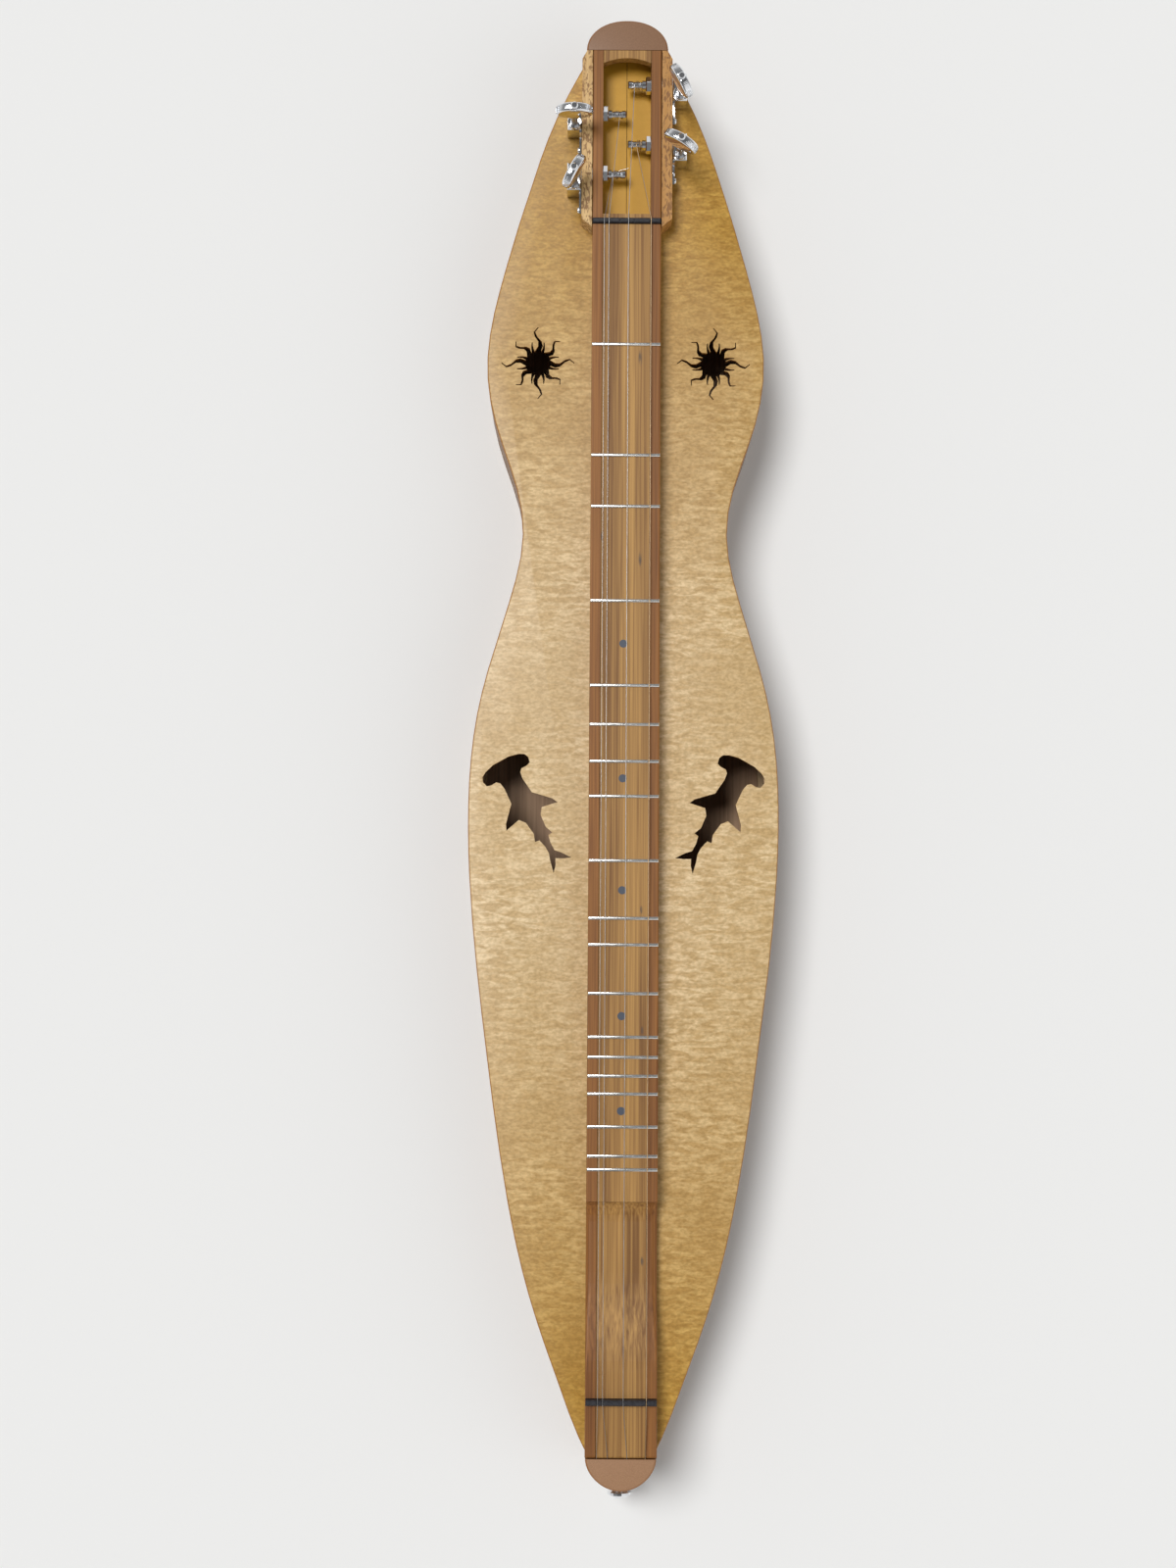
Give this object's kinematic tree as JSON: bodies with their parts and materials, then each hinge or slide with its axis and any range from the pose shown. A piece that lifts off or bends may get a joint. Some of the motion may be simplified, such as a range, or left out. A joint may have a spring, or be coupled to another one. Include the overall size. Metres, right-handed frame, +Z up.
{
  "type": "mountain dulcimer",
  "caption": "Fretted lap zither with an hourglass body, cut-out sound holes, a raised fretboard with a strum hollow, an open peg slot and geared tuners",
  "frame": {"origin": "under the middle of the bounding box, on the outer face of the back, which lies on the ground", "axes": "+Z up out of the soundboard, +Y along the instrument to the head, +X to the bass string's side seen from the front with the head up"},
  "size_m": [0.186, 0.8902, 0.0981],
  "materials": {
    "curly_maple": "satin, curly figure",
    "walnut": "satin",
    "lining_wood": "bare",
    "golden_hardwood": "satin, with nickel frets on the fretboard",
    "red_hardwood": "satin, with nickel frets",
    "burr_wood": "satin, speckled",
    "end_grain": "satin, end grain",
    "black_bone": "matt black",
    "steel": "plain steel wire",
    "bronze": "wound bronze wire",
    "chrome": "bright chrome"
  },
  "bodies": {
    "instrument": {"soundboard_left": "curly_maple", "soundboard_right": "curly_maple", "back_left": "walnut", "back_right": "walnut", "rib_left": "walnut", "rib_right": "walnut", "lining_top_left": "lining_wood", "lining_top_right": "lining_wood", "lining_back_left": "lining_wood", "lining_back_right": "lining_wood", "soundboard_brace_head": "lining_wood", "soundboard_brace_tail": "lining_wood", "back_brace_head": "lining_wood", "back_brace_tail": "lining_wood", "fretboard_core": "golden_hardwood", "peg_slot_end_block": "golden_hardwood", "fretboard_strip_left": "red_hardwood", "fretboard_strip_right": "red_hardwood", "head_cheek_left": "burr_wood", "head_cheek_right": "burr_wood", "head_block": "end_grain", "tail_block": "end_grain", "head_cap": "end_grain", "tail_cap": "end_grain", "nut": "black_bone", "bridge": "black_bone", "string_melody_outer": "steel", "string_melody_inner": "steel", "string_middle": "steel", "hitch_pin_melody_outer": "steel", "hitch_pin_bass": "steel", "hitch_pin_melody_inner": "steel", "hitch_pin_middle": "steel", "string_bass": "bronze", "end_pin": "chrome", "tuner_housing_melody_outer": "chrome", "tuner_housing_bass": "chrome", "tuner_housing_melody_inner": "chrome", "tuner_housing_middle": "chrome"},
    "button_melody_outer": {"tuner_button_melody_outer": "chrome", "button_screw_melody_outer": "chrome", "tuner_worm_melody_outer": "steel"},
    "post_melody_outer": {"tuner_post_melody_outer": "chrome", "winding_melody_outer": "steel"},
    "button_bass": {"tuner_button_bass": "chrome", "button_screw_bass": "chrome", "tuner_worm_bass": "steel"},
    "post_bass": {"tuner_post_bass": "chrome", "winding_bass": "bronze"},
    "button_melody_inner": {"tuner_button_melody_inner": "chrome", "button_screw_melody_inner": "chrome", "tuner_worm_melody_inner": "steel"},
    "post_melody_inner": {"tuner_post_melody_inner": "chrome", "winding_melody_inner": "steel"},
    "button_middle": {"tuner_button_middle": "chrome", "button_screw_middle": "chrome", "tuner_worm_middle": "steel"},
    "post_middle": {"tuner_post_middle": "chrome", "winding_middle": "steel"}
  },
  "joints": [
    {"name": "turn_button_melody_outer", "type": "hinge", "parent": "instrument", "child": "button_melody_outer", "pos_m": [-0.032, 0.34335, 0.0824], "axis": [0, 0, 1], "continuous": true},
    {"name": "turn_post_melody_outer", "type": "hinge", "parent": "instrument", "child": "post_melody_outer", "pos_m": [0, 0.35035, 0.0649], "axis": [1, 0, 0], "continuous": true},
    {"name": "turn_button_bass", "type": "hinge", "parent": "instrument", "child": "button_bass", "pos_m": [0.032, 0.36205, 0.0824], "axis": [0, 0, 1], "continuous": true},
    {"name": "turn_post_bass", "type": "hinge", "parent": "instrument", "child": "post_bass", "pos_m": [0, 0.36905, 0.0649], "axis": [1, 0, 0], "continuous": true},
    {"name": "turn_button_melody_inner", "type": "hinge", "parent": "instrument", "child": "button_melody_inner", "pos_m": [-0.032, 0.38075, 0.0824], "axis": [0, 0, 1], "continuous": true},
    {"name": "turn_post_melody_inner", "type": "hinge", "parent": "instrument", "child": "post_melody_inner", "pos_m": [0, 0.38775, 0.0649], "axis": [1, 0, 0], "continuous": true},
    {"name": "turn_button_middle", "type": "hinge", "parent": "instrument", "child": "button_middle", "pos_m": [0.032, 0.39945, 0.0824], "axis": [0, 0, 1], "continuous": true},
    {"name": "turn_post_middle", "type": "hinge", "parent": "instrument", "child": "post_middle", "pos_m": [0, 0.40645, 0.0649], "axis": [1, 0, 0], "continuous": true}
  ],
  "couplings": [
    {"joint": "turn_post_melody_outer", "follows": "turn_button_melody_outer", "ratio": -0.071429},
    {"joint": "turn_post_bass", "follows": "turn_button_bass", "ratio": 0.071429},
    {"joint": "turn_post_melody_inner", "follows": "turn_button_melody_inner", "ratio": -0.071429},
    {"joint": "turn_post_middle", "follows": "turn_button_middle", "ratio": 0.071429}
  ]
}
